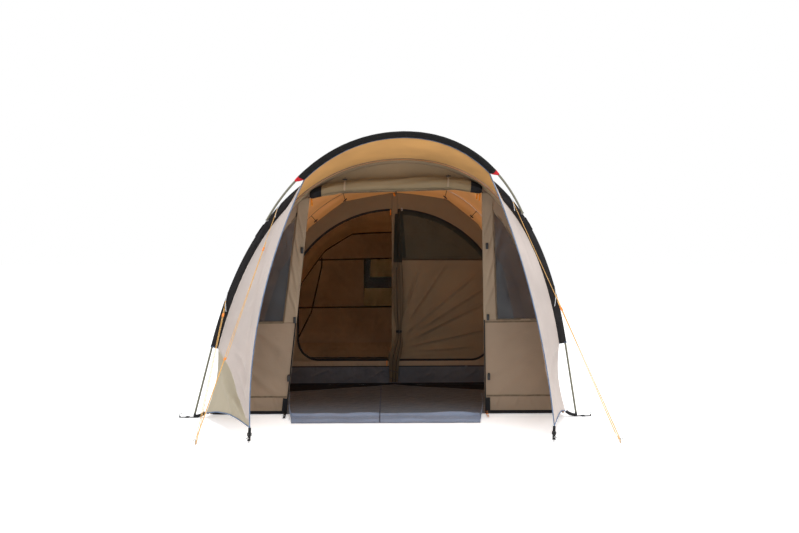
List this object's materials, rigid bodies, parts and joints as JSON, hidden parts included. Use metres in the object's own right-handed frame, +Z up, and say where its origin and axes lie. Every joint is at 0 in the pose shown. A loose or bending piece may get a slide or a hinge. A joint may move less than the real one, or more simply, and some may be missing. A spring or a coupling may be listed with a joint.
{
  "type": "tunnel tent",
  "caption": "Tunnel tent on curved poles with a porch canopy and side wings, its door rolled up, a living bay with groundsheet and a brown inner sleeping tent behind",
  "frame": {"origin": "on the ground, midway between the feet of the front arch, on the groundsheet's underside", "axes": "+X to the right seen from the front, +Y into the tent along its length, +Z up"},
  "size_m": [3.2295, 4.5585, 2.1104],
  "materials": {
    "pole": "satin grey-green coating",
    "sleeve": "dense dark pole-sleeve cloth",
    "outer_cloth": "pale beige outer cloth, slightly glossy",
    "hood_cloth": "tan canopy cloth",
    "wall_cloth": "taupe front-wall cloth",
    "window": "tinted film",
    "groundsheet": "grey woven polyethylene",
    "inner_cloth": "brown breathable inner cloth",
    "tub": "dark waterproof floor",
    "mesh": "fine dark netting",
    "webbing": "black woven webbing",
    "plastic": "black moulded plastic",
    "steel": "bent steel wire",
    "rope": "braided pale orange cord",
    "runner": "orange moulded plastic"
  },
  "bodies": {
    "tent": {"canopy_hood": "hood_cloth", "canopy_pole": "pole", "canopy_sleeve": "sleeve", "door_roll": "wall_cloth", "fly_living_bay": "outer_cloth", "fly_rear_end": "outer_cloth", "fly_rear_window": "window", "fly_sleeping_bay": "outer_cloth", "foot_peg_left": "steel", "foot_peg_right": "steel", "foot_strap_front_left": "webbing", "foot_strap_front_right": "webbing", "foot_strap_middle_left": "webbing", "foot_strap_middle_right": "webbing", "foot_strap_rear_left": "webbing", "foot_strap_rear_right": "webbing", "front_arch_pole": "pole", "front_arch_sleeve": "sleeve", "front_wall": "wall_cloth", "groundsheet": "groundsheet", "guy_peg_left": "steel", "guy_peg_right": "steel", "guy_rope_lower_left": "rope", "guy_rope_lower_right": "rope", "guy_rope_upper_left": "rope", "guy_rope_upper_right": "rope", "inner_cabin": "inner_cloth", "inner_door_bundle": "inner_cloth", "inner_door_netting": "mesh", "inner_door_right": "inner_cloth", "inner_door_tie": "webbing", "inner_front_wall": "inner_cloth", "inner_rear_wall": "inner_cloth", "inner_rear_window": "mesh", "inner_tub": "tub", "middle_arch_pole": "pole", "middle_arch_sleeve": "sleeve", "rear_arch_pole": "pole", "rear_arch_sleeve": "sleeve", "roll_tie_left": "webbing", "roll_tie_right": "webbing", "window_left": "window", "window_right": "window", "wing_left": "outer_cloth", "wing_peg_left": "steel", "wing_peg_right": "steel", "wing_right": "outer_cloth", "wing_strap_left": "webbing", "wing_strap_right": "webbing"},
    "guy_runner_upper_left": {"guy_runner_upper_left": "runner"},
    "guy_runner_lower_left": {"guy_runner_lower_left": "runner"},
    "guy_runner_upper_right": {"guy_runner_upper_right": "runner"},
    "guy_runner_lower_right": {"guy_runner_lower_right": "runner"},
    "zip_slider_arc": {"zip_slider_arc": "plastic"},
    "zip_slider_sill": {"zip_slider_sill": "plastic"},
    "foot_buckle_left": {"foot_buckle_left": "plastic"},
    "foot_buckle_right": {"foot_buckle_right": "plastic"},
    "wing_buckle_left": {"wing_buckle_left": "plastic"},
    "wing_buckle_right": {"wing_buckle_right": "plastic"}
  },
  "joints": [
    {"name": "guy_runner_upper_left_slide", "type": "slide", "parent": "tent", "child": "guy_runner_upper_left", "axis": [0.2345, 0.4372, 0.8682], "range_m": [-0.25, 0.03]},
    {"name": "guy_runner_lower_left_slide", "type": "slide", "parent": "tent", "child": "guy_runner_lower_left", "axis": [0.0253, 0.6679, 0.7438], "range_m": [-0.25, 0.03]},
    {"name": "guy_runner_upper_right_slide", "type": "slide", "parent": "tent", "child": "guy_runner_upper_right", "axis": [-0.3088, 0.4162, 0.8553], "range_m": [-0.25, 0.03]},
    {"name": "guy_runner_lower_right_slide", "type": "slide", "parent": "tent", "child": "guy_runner_lower_right", "axis": [-0.2056, 0.6361, 0.7437], "range_m": [-0.25, 0.03]},
    {"name": "arc_zip", "type": "hinge", "parent": "tent", "child": "zip_slider_arc", "pos_m": [0.08, 1.3952, 0.593], "axis": [0, 1, 0], "range_deg": [0, 50]},
    {"name": "sill_zip", "type": "slide", "parent": "tent", "child": "zip_slider_sill", "axis": [-1, 0, 0], "range_m": [0, 0.65]},
    {"name": "foot_buckle_left_slide", "type": "slide", "parent": "tent", "child": "foot_buckle_left", "axis": [-1, 0, 0], "range_m": [-0.02, 0.03]},
    {"name": "foot_buckle_right_slide", "type": "slide", "parent": "tent", "child": "foot_buckle_right", "axis": [1, 0, 0], "range_m": [-0.02, 0.03]},
    {"name": "wing_buckle_left_slide", "type": "slide", "parent": "tent", "child": "wing_buckle_left", "axis": [-0.0054, -0.2791, -0.9603], "range_m": [-0.012, 0.008]},
    {"name": "wing_buckle_right_slide", "type": "slide", "parent": "tent", "child": "wing_buckle_right", "axis": [-0.0907, -0.2672, -0.9594], "range_m": [-0.012, 0.008]}
  ]
}
